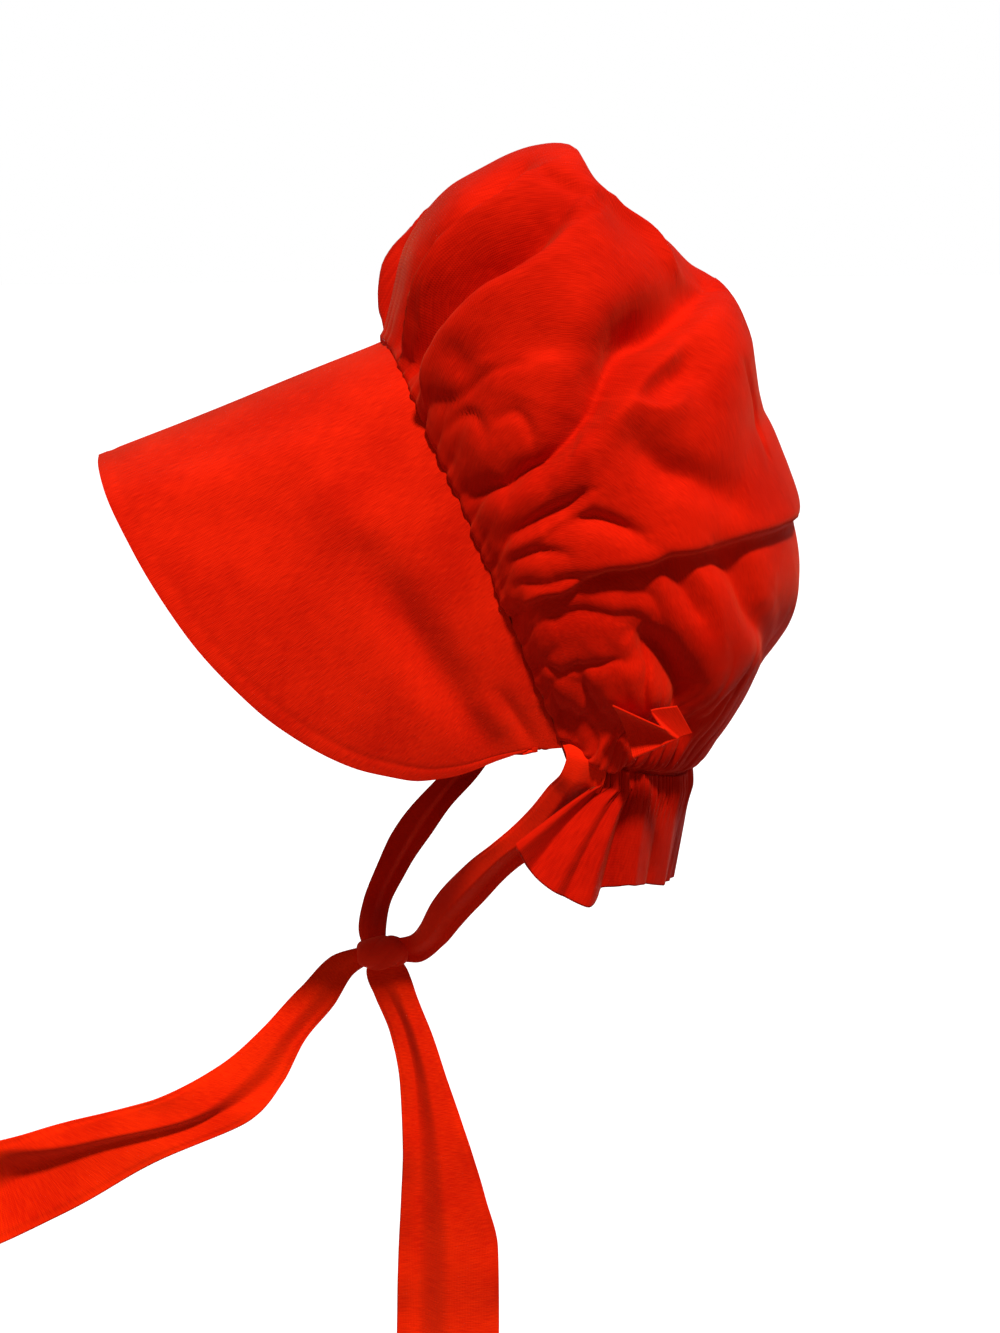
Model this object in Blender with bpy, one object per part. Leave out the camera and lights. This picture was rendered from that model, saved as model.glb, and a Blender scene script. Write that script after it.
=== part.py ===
"""Gathered cloth bonnet with a stiff poke brim, neck curtain and chin ties.

Sizes in millimetres, written out in metres. +Z is up, -Y is the way the wearer
faces, +X is the wearer's left. The origin is where the head rests, inside the
top of the seam that joins crown and brim.
"""
import bpy
import numpy as np

MM = 0.001
GAP = 0.3

CORNER_X = 75.0
CORNER_Y = 67.0
CORNER_Z = -164.0
CORNER_RADIUS = 3.5
SEAM_ANGLE = 112.2
NECK_ANGLE = -17.0
ARCH_SQUARENESS = 0.80
BRIM_TILT = 21.0

CROWN_WALL = 1.6
BRIM_WALL = 2.4
BAND_WALL = 1.6
CURTAIN_WALL = 1.5
TIE_WALL = 1.2

RED = (0.62, 0.013, 0.004, 1.0)
DEEP_RED = (0.50, 0.008, 0.003, 1.0)

# Arches of the crown, each in a half plane through the two lower seam corners.
CROWN_ARCHES = (
    # plane angle, reach from corner line, half width
    (112.2, 177.0, 80.0),
    (109.0, 197.0, 89.0),
    (105.0, 219.0, 97.0),
    (98.0, 238.0, 104.0),
    (90.0, 249.0, 108.0),
    (87.0, 246.0, 109.0),
    (82.0, 221.0, 110.0),
    (74.0, 216.0, 111.0),
    (66.0, 203.0, 111.0),
    (57.0, 174.0, 110.0),
    (43.0, 151.5, 108.0),
    (30.0, 132.0, 105.0),
    (14.0, 103.0, 100.0),
    (-2.0, 86.0, 92.0),
    (-17.0, 73.0, 80.0),
)

# Outline of the brim from the lower corner to the middle of the front edge.
BRIM_OUTLINE = (
    # along the seam from the corner, ahead of the seam
    (-1.2, 13.8),
    (0.4, 27.0),
    (2.0, 40.2),
    (8.0, 60.2),
    (16.0, 73.0),
    (25.4, 84.8),
    (43.2, 99.5),
    (64.8, 112.0),
    (104.4, 125.8),
    (143.4, 132.0),
    (173.0, 133.8),
    (212.0, 132.8),
)

BRIM_DENTS = (
    # height, breadth, then along and ahead at start, middle and end
    (2.6, 16.0, 146.0, 54.0, 128.0, 46.0, 104.0, 38.0),
    (-3.0, 11.0, 104.0, 43.0, 60.0, 38.0, 13.0, 27.0),
    (1.4, 5.0, 34.0, 25.0, 24.0, 23.0, 13.0, 21.0),
    (-1.2, 3.5, 30.0, 15.0, 17.0, 13.0, 3.0, 11.0),
    (1.8, 22.0, 172.0, 120.0, 160.0, 80.0, 158.0, 46.0),
)

# Folds of the crown. Around runs 0 at the top to 1 at the lower corner and
# down runs 0 at the brim seam to 1 at the neck. Negative heights are hollows.
# A lean makes one bank of the fold stand over the other.
CROWN_FOLDS = (
    # height, breadth, lean, around and down at start, first third, second third, end
    (4.0, 8.0, 0.0, 0.10, 0.01, 0.15, 0.06, 0.14, 0.10, 0.11, 0.14),
    (-5.0, 7.0, 0.0, 0.01, 0.04, 0.09, 0.08, 0.10, 0.11, 0.06, 0.15),
    (-5.0, 13.0, 0.0, 0.27, 0.06, 0.27, 0.10, 0.25, 0.14, 0.21, 0.17),
    (5.0, 9.0, 0.3, 0.32, 0.04, 0.29, 0.07, 0.29, 0.12, 0.23, 0.18),
    (5.0, 7.0, 0.0, 0.29, 0.02, 0.30, 0.03, 0.30, 0.045, 0.30, 0.055),
    (-5.0, 6.0, 0.0, 0.34, 0.03, 0.37, 0.04, 0.39, 0.06, 0.40, 0.07),
    (6.0, 22.0, 0.0, 0.37, 0.08, 0.36, 0.13, 0.34, 0.17, 0.23, 0.21),
    (-11.0, 13.0, 0.5, 0.10, 0.33, 0.34, 0.26, 0.48, 0.20, 0.52, 0.04),
    (-6.0, 11.0, -0.3, 0.30, 0.30, 0.34, 0.30, 0.38, 0.29, 0.42, 0.29),
    (6.0, 9.0, 0.3, 0.62, 0.12, 0.62, 0.16, 0.59, 0.19, 0.54, 0.24),
    (-5.0, 9.0, 0.0, 0.50, 0.25, 0.51, 0.29, 0.49, 0.35, 0.41, 0.41),
    (-4.0, 6.0, 0.0, 0.63, 0.05, 0.66, 0.11, 0.64, 0.16, 0.60, 0.21),
    (-4.0, 6.0, 0.3, 0.67, 0.05, 0.68, 0.12, 0.66, 0.20, 0.59, 0.28),
    (-7.0, 9.0, 0.7, 0.70, 0.04, 0.68, 0.30, 0.48, 0.44, 0.16, 0.56),
    (-5.0, 6.0, 0.3, 0.75, 0.06, 0.77, 0.13, 0.72, 0.23, 0.69, 0.29),
    (-12.0, 11.0, 0.5, 0.79, 0.09, 0.77, 0.30, 0.66, 0.58, 0.47, 0.84),
    (5.0, 7.0, 0.4, 0.87, 0.07, 0.86, 0.23, 0.82, 0.37, 0.77, 0.47),
    (-4.0, 5.0, 0.3, 0.75, 0.42, 0.77, 0.47, 0.78, 0.53, 0.78, 0.61),
    (-4.0, 5.0, 0.0, 0.87, 0.21, 0.90, 0.25, 0.92, 0.36, 0.91, 0.52),
    (-6.0, 10.0, 0.0, 0.45, 0.48, 0.44, 0.54, 0.40, 0.61, 0.24, 0.72),
    (5.0, 8.0, 0.0, 0.42, 0.70, 0.44, 0.72, 0.44, 0.76, 0.45, 0.80),
    (4.0, 14.0, 0.0, 0.19, 0.37, 0.21, 0.40, 0.22, 0.43, 0.25, 0.46),
    (-6.0, 15.0, 0.0, 0.89, 0.74, 0.80, 0.77, 0.72, 0.78, 0.61, 0.77),
    (-5.0, 12.0, 0.2, 0.02, 0.40, 0.08, 0.44, 0.14, 0.46, 0.20, 0.45),
    (-5.0, 12.0, 0.3, 0.04, 0.64, 0.12, 0.66, 0.20, 0.68, 0.28, 0.73),
)

# Seam gathers: many near the seam, fewer and broader further from it.
SEAM_GATHERS = (
    # puffs round the seam, height, reach from the seam
    (19, 3.2, 50.0),
    (38, 1.4, 20.0),
)
NECK_GATHERS = (
    # puffs round the neck, height, reach from the neck
    (19, 3.0, 45.0),
    (38, 1.2, 14.0),
)

# The gathered curtain hangs from this share of the neck band.
CURTAIN_SHARE = 0.89
BAND_HEIGHT = 9.0

# How the curtain hangs from the neck band, from the middle of the back to an end.
CURTAIN_HANG = (
    # share of the half, length, lean forward on the left, on the right, flare outward
    (0.00, 43.0, 0.0, 0.0, -14.0),
    (0.30, 43.0, 3.0, 0.0, -10.0),
    (0.50, 43.0, 5.0, -2.0, -3.0),
    (0.66, 43.0, 6.0, -4.0, 4.0),
    (0.76, 44.0, 8.0, -6.0, -8.0),
    (0.85, 51.0, 20.0, -10.0, 12.0),
    (0.92, 52.0, 29.0, -14.0, 18.0),
    (1.00, 46.0, 43.0, -20.0, 12.0),
)
CURTAIN_PLEATS = 17
CURTAIN_PLEAT_HEIGHT = 4.2

# The two long edges of each tie, row by row away from the bonnet.
TIE_LEFT_EDGES = (
    # x, y, z of the front edge, then of the back edge
    (80.3, 68.2, -167.2, 80.8, 79.0, -171.4),
    (78.4, 65.5, -173.2, 79.0, 76.5, -178.5),
    (72.5, 61.0, -181.2, 72.5, 72.5, -188.0),
    (61.0, 51.0, -198.0, 63.0, 62.2, -208.5),
    (52.0, 40.9, -210.1, 55.0, 52.8, -220.0),
    (43.0, 31.1, -221.5, 45.0, 44.1, -232.5),
    (34.0, 23.2, -233.3, 37.0, 36.2, -245.0),
    (25.0, 16.3, -246.1, 28.0, 27.9, -257.9),
    (17.0, 11.6, -259.6, 20.0, 20.4, -270.1),
    (7.0, 11.1, -268.5, 8.0, 11.4, -280.0),
)
TIE_RIGHT_EDGES = (
    (-79.8, 68.2, -167.2, -80.3, 79.0, -171.4),
    (-77.9, 65.0, -173.2, -78.5, 76.0, -178.5),
    (-71.5, 54.5, -186.0, -72.5, 66.0, -193.0),
    (-61.0, 39.0, -202.0, -63.0, 52.0, -209.0),
    (-50.0, 24.0, -213.0, -52.0, 36.0, -222.0),
    (-40.0, 9.0, -226.0, -42.0, 23.0, -236.0),
    (-29.0, -2.0, -241.0, -31.0, 11.0, -249.0),
    (-18.0, -10.5, -257.0, -20.0, 2.0, -261.0),
    (-3.0, -14.0, -268.6, -3.5, -2.0, -268.8),
)
TAIL_LEFT_EDGES = (
    # x, y, z of the upper edge, then of the lower edge
    (4.0, -25.6, -276.0, 6.0, -17.6, -285.3),
    (7.0, -42.5, -290.4, 9.0, -27.3, -299.1),
    (9.0, -60.3, -308.5, 11.0, -40.9, -314.6),
    (10.0, -79.8, -324.6, 13.0, -51.4, -333.7),
    (12.0, -111.8, -338.9, 15.0, -66.3, -349.7),
    (12.0, -147.9, -346.9, 15.0, -108.7, -367.8),
    (10.0, -179.6, -355.1, 14.0, -154.1, -392.6),
    (8.0, -193.2, -359.0, 14.0, -186.1, -406.7),
    (6.0, -207.8, -363.9, 12.0, -205.3, -412.5),
)
TAIL_RIGHT_EDGES = (
    # x, y, z of the front edge, then of the back edge
    (7.0, -12.2, -284.6, 8.0, 6.8, -284.6),
    (11.0, -9.1, -294.1, 13.0, 10.0, -293.9),
    (12.0, -2.1, -313.5, 14.0, 17.0, -313.8),
    (12.0, 2.2, -338.3, 14.0, 24.7, -338.7),
    (12.0, 3.3, -370.5, 14.0, 34.4, -369.1),
    (10.0, 2.4, -396.4, 14.0, 41.4, -394.6),
    (8.0, 0.9, -427.7, 14.0, 47.5, -422.4),
    (6.0, 0.2, -460.3, 12.0, 48.2, -460.7),
    (6.0, -0.5, -489.8, 12.0, 47.8, -490.2),
)

# Lengthwise folds of each tie: waves across, depth at the first and last row.
TIE_FOLDS = (
    # name, waves, depth at the start, depth at the end
    ("tie_left", 1.5, 0.5, 3.0),
    ("tie_right", 1.5, 0.5, 3.0),
    ("tail_left", 1.0, 2.6, 2.4),
    ("tail_right", 1.0, 3.2, 4.0),
)

# The knot under the chin: middle, half sizes, and the grooves across it.
KNOT_MIDDLE = (4.0, -5.8, -276.8)
KNOT_HALF = (9.5, 15.8, 7.9)
KNOT_GROOVES = 3
KNOT_GROOVE_DEPTH = 0.12

# Short tape sewn over the band on the wearer's left, hollowed at its open end.
TAPE_EDGES = (
    # x, y, z of the lower edge, then of the upper edge, and the hollow between
    (90.0, 117.2, -152.6, 95.0, 110.6, -141.0, 0.3),
    (91.0, 111.7, -155.6, 96.5, 105.8, -143.7, 1.0),
    (92.0, 105.5, -158.7, 97.0, 98.7, -143.9, 2.0),
    (92.5, 99.5, -161.6, 97.0, 91.5, -142.0, 3.0),
    (91.0, 93.4, -164.7, 97.0, 84.5, -140.3, 4.0),
)


def through(knots, values, at):
    """Smooth curve through table values that never overshoots them."""
    knots = np.asarray(knots, float)
    values = np.asarray(values, float)
    at = np.asarray(at, float)
    step = np.diff(knots)
    slope = np.diff(values) / step
    same = slope[1:] * slope[:-1] > 0
    total = np.where(same, slope[1:] + slope[:-1], 1.0)
    inner = np.where(same, 2 * slope[1:] * slope[:-1] / total, 0.0)
    tangent = np.concatenate([slope[:1], inner, slope[-1:]])
    i = np.clip(np.searchsorted(knots, at, side="right") - 1, 0, len(step) - 1)
    t = (at - knots[i]) / step[i]
    start = values[i] * (1 + 2 * t) * (1 - t) ** 2
    end = values[i + 1] * t * t * (3 - 2 * t)
    bend = step[i] * (tangent[i] * t * (1 - t) ** 2 + tangent[i + 1] * t * t * (t - 1))
    return start + end + bend


def arch(turn, angle):
    """Point on the arch in the plane at an angle; turn runs -1 to 1 over the arch."""
    rows = np.array(CROWN_ARCHES)[::-1]
    reach = through(rows[:, 0], rows[:, 1], angle)
    half = through(rows[:, 0], rows[:, 2], angle)
    climb = np.pi / 2 * (1 - np.abs(turn)) ** 1.25
    rise = np.sin(climb) ** ARCH_SQUARENESS
    swell = 1 - np.exp(-rise / 0.2)
    out = np.cos(climb) ** ARCH_SQUARENESS * (CORNER_X + (half - CORNER_X) * swell)
    radius = CORNER_RADIUS + (reach - CORNER_RADIUS) * rise
    slant = np.radians(angle)
    y = CORNER_Y + radius * np.cos(slant)
    z = CORNER_Z + radius * np.sin(slant)
    return np.stack(np.broadcast_arrays(np.sign(turn) * out, y, z), -1)


def running_length(points):
    """Length along a line of points, starting at zero."""
    steps = np.linalg.norm(np.diff(points, axis=0), axis=1)
    return np.concatenate([[0.0], np.cumsum(steps)])


TURNS = np.linspace(-1, 1, 2001)
SEAM_LENGTHS = running_length(arch(TURNS, np.full(2001, SEAM_ANGLE)))
SEAM_LENGTH = SEAM_LENGTHS[-1]
SEAM_SHARES = SEAM_LENGTHS / SEAM_LENGTH * 2 - 1


def crown_shape(around, down):
    """Smooth crown under the folds: around -1..1 by seam length, down 0..1."""
    turn = np.interp(around, SEAM_SHARES, TURNS)
    angle = SEAM_ANGLE + (NECK_ANGLE - SEAM_ANGLE) * down
    return arch(turn, angle)


def normals(grid, inside=None):
    """Unit normals of a grid of points, turned away from an inside point."""
    first = np.gradient(grid, axis=0)
    second = np.gradient(grid, axis=1)
    cross = np.cross(first, second)
    cross = cross / np.maximum(np.linalg.norm(cross, axis=-1, keepdims=True), 1e-12)
    if inside is None:
        return cross
    return cross * np.sign(np.sum(cross * (grid - np.array(inside))))


def fold_line(row, columns, samples):
    """Points spaced along the smooth line of one fold."""
    knots = np.linspace(0, 1, len(columns[0]))
    t = np.linspace(0, 1, samples)
    return [through(knots, [row[c] for c in column], t) for column in columns]


def fold_height(points, line, up, height, breadth, lean):
    """Height a fold adds at each point, from the distance to its line."""
    start = line[:-1]
    span = line[1:] - line[:-1]
    best = np.full(points.shape[:-1], 1e9)
    side = np.zeros(points.shape[:-1])
    along = np.zeros(points.shape[:-1])
    for k in range(len(start)):
        away = points - start[k]
        t = np.clip(away @ span[k] / (span[k] @ span[k]), 0, 1)
        rest = away - t[..., None] * span[k]
        far = np.linalg.norm(rest, axis=-1)
        hand = np.einsum("...i,...i", np.cross(span[k], rest), up)
        nearer = far < best
        best = np.where(nearer, far, best)
        side = np.where(nearer, np.sign(hand), side)
        along = np.where(nearer, (k + t) / len(start), along)
    fade = np.clip(np.sin(np.pi * np.clip(along * 0.84 + 0.08, 0, 1)), 0, 1) ** 0.7
    across = best / breadth
    body = np.exp(-across ** 2)
    tilt = lean * 1.6 * side * across * np.exp(-(across * 0.8) ** 2)
    return height * fade * (body - tilt)


def puffs(phase):
    """Rounded puffs with narrow valleys between them, mean near zero."""
    return np.abs(np.sin(np.pi * phase)) ** 0.75 - 0.68


def wander(value, seed):
    """Slow uneven wave used to keep gathers from being all alike."""
    waves = np.sin(value * 5.1 + seed) + 0.7 * np.sin(value * 11.3 + 2.1 * seed)
    return waves + 0.5 * np.sin(value * 23.7 + 4.3 * seed)


def crown_surface(around, down):
    """Crown with its folds and gathers, as a grid of points."""
    around, down = np.broadcast_arrays(around[:, None], down[None, :])
    base = crown_shape(around, down)
    up = normals(base, (0.0, 80.0, -70.0))
    lift = np.zeros(base.shape[:-1])
    columns = ((3, 5, 7, 9), (4, 6, 8, 10))
    for index, row in enumerate(CROWN_FOLDS):
        for hand in (1.0, -1.0):
            ways, falls = fold_line(row, columns, 14)
            if hand < 0:
                ways = ways + 0.018 * np.sin(1.7 * index)
                falls = falls + 0.012 * np.cos(2.3 * index)
            line = crown_shape(hand * ways, np.clip(falls, 0, 1))
            lift += fold_height(base, line, up, row[0], row[1], row[2] * hand)
    seam_gap = np.linalg.norm(base - base[:, :1], axis=-1)
    neck_gap = np.linalg.norm(base - base[:, -1:], axis=-1)
    room = np.linalg.norm(base - base[:1], axis=-1)
    room = np.minimum(room, np.linalg.norm(base - base[-1:], axis=-1))
    for count, height, reach in SEAM_GATHERS:
        phase = around * count / 2 + 0.10 * wander(around * 2 + down * 1.5, count)
        size = height * (1 + 0.25 * wander(around * 3, count + 2.0))
        lift += size * puffs(phase) * np.exp(-seam_gap / reach)
    for count, height, reach in NECK_GATHERS:
        phase = around * count / 2 + 0.12 * wander(around * 2 - down, count + 1.0)
        size = height * (1 + 0.25 * wander(around * 3, count + 5.0))
        lift += size * puffs(phase) * np.exp(-neck_gap / reach)
    hold = 1 - np.exp(-seam_gap / 5.0)
    hold = hold * (1 - np.exp(-neck_gap / 5.0)) * (1 - np.exp(-room / 10.0))
    set_back = (GAP + CROWN_WALL / 2 + 0.3) * (1 - down)
    return base + up * (lift * hold)[..., None] - set_back[..., None] * ahead()


def ahead():
    """Direction the brim stands out from the seam."""
    slant = np.radians(BRIM_TILT)
    return np.array([0.0, -np.cos(slant), -np.sin(slant)])


def seam_down():
    """Direction along the seam at its lower corner, pointing down."""
    slant = np.radians(SEAM_ANGLE)
    return np.array([0.0, -np.cos(slant), -np.sin(slant)])


def brim_shape(along, depth, hand):
    """Brim point: along the seam up from a corner, depth ahead of the seam."""
    share = hand * (1 - np.maximum(along, 0) * 2 / SEAM_LENGTH)
    seam = crown_shape(share, np.zeros_like(share))
    drop = np.minimum(along, 0)[..., None] * -seam_down()
    return seam + drop + depth[..., None] * ahead()


def brim_half(cells_along, depths, hand):
    """Half of the brim with its dents, from the corner to the middle."""
    rows = np.array(BRIM_OUTLINE)
    rows[-1, 0] = SEAM_LENGTH / 2
    span = running_length(rows)
    at = np.linspace(0, span[-1], cells_along + 1)
    edge_along = through(span, rows[:, 0], at)[:, None]
    edge_depth = through(span, rows[:, 1], at)[:, None]
    seam_along = np.linspace(-6.0, SEAM_LENGTH / 2, cells_along + 1)[:, None]
    along = seam_along * (1 - depths) + edge_along * depths
    depth = edge_depth * depths
    base = brim_shape(along, depth, hand)
    up = normals(base, (0.0, -40.0, -100.0))
    lift = np.zeros(base.shape[:-1])
    columns = ((2, 4, 6), (3, 5, 7))
    for row in BRIM_DENTS:
        ways, depth_line = fold_line(row, columns, 10)
        line = brim_shape(ways, depth_line, hand)
        lift += fold_height(base, line, up, row[0], row[1], 0.0)
    hold = 1 - np.exp(-depth / 8.0)
    return base + up * (lift * hold)[..., None]


def brim_surface(cells_along, cells_deep):
    """Whole brim, left corner over the middle to the right corner."""
    depths = np.linspace(0, 1, cells_deep + 1)[None, :]
    left = brim_half(cells_along, depths, 1.0)
    right = brim_half(cells_along, depths, -1.0)[::-1]
    middle = (left[-1:] + right[:1]) / 2
    return np.concatenate([left[:-1], middle, right[1:]])


def neck_line(share):
    """Lower edge of the crown, share -1..1 between its ends, by length."""
    way = np.linspace(-1, 1, 801)
    line = crown_shape(way, np.ones(801))
    length = running_length(line)
    at = (np.asarray(share, float) + 1) / 2 * length[-1]
    return np.stack([np.interp(at, length, line[:, k]) for k in range(3)], -1)


def level_outward(line):
    """Sideways unit vectors pointing away from the neck along a neck line."""
    run = np.gradient(line, axis=0)
    out = np.stack([-run[:, 1], run[:, 0], np.zeros(len(line))], -1)
    out = out / np.linalg.norm(out, axis=1, keepdims=True)
    middle = np.array([0.0, 60.0, 0.0])
    facing = np.sign(np.einsum("ij,ij->i", out, line - middle))
    return out * facing[:, None]


def band_line(share):
    """Top middle line of the neck band, clear of the crown's lower edge."""
    line = neck_line(share)
    way = np.linspace(-1, 1, 801)
    below = crown_shape(way, np.ones(801))
    above = crown_shape(way, np.full(801, 0.985))
    length = running_length(below)
    at = (np.asarray(share, float) + 1) / 2 * length[-1]
    run_on = below - above
    run_on = np.stack([np.interp(at, length, run_on[:, k]) for k in range(3)], -1)
    run_on = run_on / np.linalg.norm(run_on, axis=-1, keepdims=True)
    return line + run_on * (GAP + CROWN_WALL / 2 + 0.35)


def band_surface(cells):
    """Neck band that holds the gathers, from the left corner round the nape."""
    share = np.linspace(1, -1, cells + 1)
    top = band_line(share)
    out = level_outward(top)
    rows = []
    for fall in (0.0, 0.5, 1.0):
        pucker = 0.5 * np.sin(np.pi * share * 19) * np.sin(np.pi * fall)
        drop = np.array([0.0, 0.0, -BAND_HEIGHT * fall])
        rows.append(top + drop + out * pucker[:, None])
    return np.stack(rows, 1)


def curtain_surface(cells_along, cells_down):
    """Gathered curtain below the neck band."""
    share = np.linspace(1, -1, cells_along + 1)
    top = band_line(share * CURTAIN_SHARE)
    top = top + np.array([0.0, 0.0, -BAND_HEIGHT - GAP - 0.1])
    out = level_outward(top)
    rows = np.array(CURTAIN_HANG)
    length = through(rows[:, 0], rows[:, 1], np.abs(share))
    left = through(rows[:, 0], rows[:, 2], np.abs(share))
    right = through(rows[:, 0], rows[:, 3], np.abs(share))
    lean = np.radians(np.where(share > 0, left, right))
    flare = np.radians(through(rows[:, 0], rows[:, 4], np.abs(share)))
    forward = np.array([0.0, -1.0, 0.0])
    down = np.array([0.0, 0.0, -1.0])
    hang = np.cos(lean)[:, None] * down + np.sin(lean)[:, None] * forward
    phase = share * CURTAIN_PLEATS / 2 + 0.12 * wander(share * 2.0, 3.0)
    fade = np.clip((1 - np.abs(share)) / 0.10, 0, 1)
    swing = CURTAIN_PLEAT_HEIGHT * np.sin(2 * np.pi * phase) * (0.25 + 0.75 * fade)
    grid = []
    for fall in np.linspace(0, 1, cells_down + 1):
        far = length * fall
        side = np.sin(flare) * far + swing * fall ** 0.8
        drop = np.cos(flare) * far
        grid.append(top + hang * drop[:, None] + out * side[:, None])
    return np.stack(grid, 1)


def ribbon_surface(name, edges, cells_long, cells_wide):
    """Tie cloth between its two edge lines, with folds that run its length."""
    folds = {row[0]: row[1:] for row in TIE_FOLDS}[name]
    rows = np.array(edges)
    middles = (rows[:, :3] + rows[:, 3:]) / 2
    length = running_length(middles)
    at = np.linspace(0, length[-1], cells_long + 1)
    one = np.stack([through(length, rows[:, k], at) for k in range(3)], -1)
    two = np.stack([through(length, rows[:, k + 3], at) for k in range(3)], -1)
    across = np.linspace(0, 1, cells_wide + 1)
    run = np.gradient((one + two) / 2, axis=0)
    face = np.cross(two - one, run)
    face = face / np.linalg.norm(face, axis=1, keepdims=True)
    share = at / length[-1]
    depth = folds[1] + (folds[2] - folds[1]) * np.clip(share * 4, 0, 1)
    wave = np.sin(2 * np.pi * (across[None, :] * folds[0] + 0.35 * share[:, None]))
    grid = one[:, None] * (1 - across[None, :, None]) + two[:, None] * across[None, :, None]
    return grid + face[:, None] * (depth[:, None] * wave)[..., None]


def tape_surface(cells_long, cells_wide):
    """Short flat tape with a free end, lying over the band."""
    rows = np.array(TAPE_EDGES)
    at = np.linspace(0, 1, cells_long + 1)
    knots = np.linspace(0, 1, len(rows))
    one = np.stack([through(knots, rows[:, k], at) for k in range(3)], -1)
    two = np.stack([through(knots, rows[:, k + 3], at) for k in range(3)], -1)
    hollow = through(knots, rows[:, 6], at)[:, None]
    across = np.linspace(0, 1, cells_wide + 1)[None, :]
    face = np.cross(two - one, np.gradient((one + two) / 2, axis=0))
    face = face / np.linalg.norm(face, axis=1, keepdims=True)
    face = face * np.sign(face[:, :1])
    dip = hollow * np.sin(np.pi * across)
    flat = one[:, None] * (1 - across[..., None]) + two[:, None] * across[..., None]
    return flat - face[:, None] * dip[..., None]


def cloth_material(name, color, roughness):
    """Dyed cotton as a plain surface."""
    material = bpy.data.materials.new(name)
    material.use_nodes = True
    shader = material.node_tree.nodes["Principled BSDF"]
    shader.inputs["Base Color"].default_value = color
    shader.inputs["Roughness"].default_value = roughness
    shader.inputs["Metallic"].default_value = 0.0
    return material


def add_mesh(name, points, faces, material, holder):
    """Smooth mesh object in metres, parented to the bonnet."""
    mesh = bpy.data.meshes.new(name)
    mesh.from_pydata((np.asarray(points) * MM).tolist(), [], faces)
    mesh.shade_smooth()
    mesh.materials.append(material)
    piece = bpy.data.objects.new(name, mesh)
    bpy.context.scene.collection.objects.link(piece)
    piece.parent = holder
    return piece


def add_cloth(name, grid, thickness, material, holder):
    """Cloth of even thickness on both sides of a grid of points."""
    long, wide = grid.shape[:2]
    faces = []
    for i in range(long - 1):
        for j in range(wide - 1):
            a = i * wide + j
            b = a + wide
            c = b + 1
            d = a + 1
            one = np.linalg.norm(grid[i, j] - grid[i + 1, j + 1])
            two = np.linalg.norm(grid[i + 1, j] - grid[i, j + 1])
            faces += [(a, b, c), (a, c, d)] if one <= two else [(a, b, d), (b, c, d)]
    piece = add_mesh(name, grid.reshape(-1, 3), faces, material, holder)
    wall = piece.modifiers.new("wall", "SOLIDIFY")
    wall.thickness = thickness * MM
    wall.offset = 0.0
    wall.use_rim = True
    return piece


def add_knot(name, around, up, material, holder):
    """Tight lump of wound cloth with grooves slanting across it."""
    points = []
    for i in range(1, up):
        tall = np.pi * i / up
        for k in range(around):
            turn = 2 * np.pi * k / around
            groove = np.sin(KNOT_GROOVES * (turn + 0.9 * tall)) * np.sin(tall)
            size = 1 - KNOT_GROOVE_DEPTH * (0.5 - 0.5 * groove)
            girth = size * np.sin(tall) ** 0.4
            points.append((girth * np.cos(turn), -np.cos(tall), girth * np.sin(turn)))
    points.append((0.0, -1.0, 0.0))
    points.append((0.0, 1.0, 0.0))
    low, high = len(points) - 2, len(points) - 1
    top = (up - 2) * around
    faces = []
    for k in range(around):
        n = (k + 1) % around
        faces.append((low, k, n))
        faces.append((high, top + n, top + k))
        for i in range(up - 2):
            a, b = i * around + k, i * around + n
            faces.append((a, b + around, b))
            faces.append((a, a + around, b + around))
    points = np.array(points) * np.array(KNOT_HALF) + np.array(KNOT_MIDDLE)
    return add_mesh(name, points, faces, material, holder)


def build():
    """Make every piece of the bonnet under one empty."""
    for piece in list(bpy.data.objects):
        bpy.data.objects.remove(piece)
    bonnet = bpy.data.objects.new("bonnet", None)
    bpy.context.scene.collection.objects.link(bonnet)
    around = np.linspace(1, -1, 77)
    down = np.linspace(0, 1, 23) ** 1.2
    pieces = (
        # name, grid of points, wall, colour, roughness
        ("crown", crown_surface(around, down), CROWN_WALL, RED, 0.85),
        ("brim", brim_surface(16, 7), BRIM_WALL, RED, 0.80),
        ("neck_band", band_surface(57), BAND_WALL, DEEP_RED, 0.85),
        ("curtain", curtain_surface(68, 4), CURTAIN_WALL, RED, 0.85),
        ("neck_tape", tape_surface(6, 4), TIE_WALL, RED, 0.85),
    )
    for name, grid, wall, color, roughness in pieces:
        material = cloth_material(name, color, roughness)
        add_cloth(name, grid, wall, material, bonnet)
    ties = (
        ("tie_left", TIE_LEFT_EDGES),
        ("tie_right", TIE_RIGHT_EDGES),
        ("tail_left", TAIL_LEFT_EDGES),
        ("tail_right", TAIL_RIGHT_EDGES),
    )
    for name, edges in ties:
        material = cloth_material(name, RED, 0.85)
        add_cloth(name, ribbon_surface(name, edges, 12, 6), TIE_WALL, material, bonnet)
    add_knot("knot", 12, 8, cloth_material("knot", DEEP_RED, 0.85), bonnet)


build()
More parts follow.
